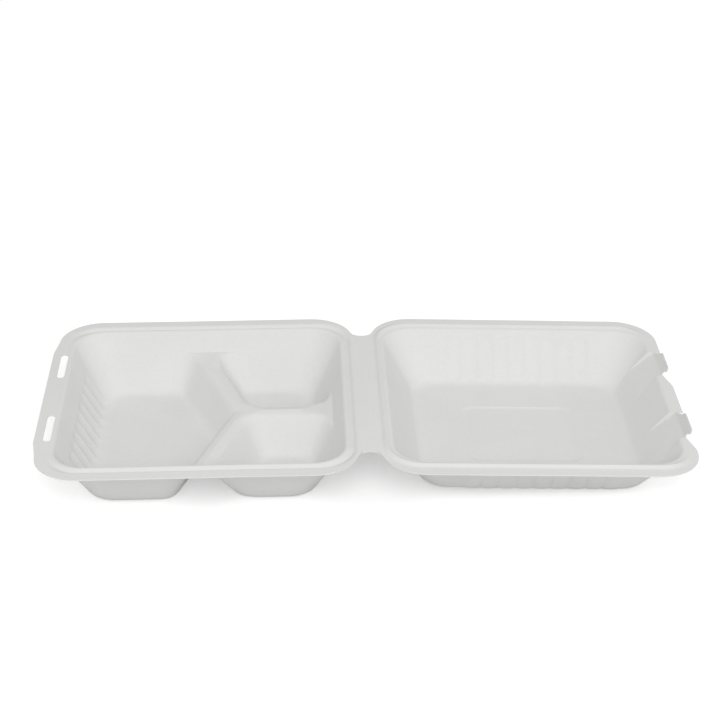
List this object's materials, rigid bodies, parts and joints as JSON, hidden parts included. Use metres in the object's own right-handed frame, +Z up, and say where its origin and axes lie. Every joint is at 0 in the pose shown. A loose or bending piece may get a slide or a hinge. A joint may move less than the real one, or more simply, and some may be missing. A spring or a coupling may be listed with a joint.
{
  "type": "bagasse clamshell container",
  "caption": "Square hinged food container moulded from plant fibre, lying open, with a divided base, a ribbed lid and tab-and-slot locks.",
  "frame": {"origin": "on the table at the middle of the open container, 2.7 mm from below the fold line", "axes": "+X from the base towards the open lid, +Y along the fold line, +Z up from the table"},
  "size_m": [0.4692, 0.23, 0.0454],
  "materials": {
    "base_pulp": "matt moulded plant fibre",
    "lid_pulp": "matt moulded plant fibre"
  },
  "bodies": {
    "base": {"base_tray": "base_pulp"},
    "lid": {"lid": "lid_pulp"}
  },
  "joints": [
    {"name": "lid_fold", "type": "hinge", "parent": "base", "child": "lid", "pos_m": [0.00272, 0, 0.044], "axis": [0, -1, 0], "range_deg": [0, 181.9]}
  ]
}
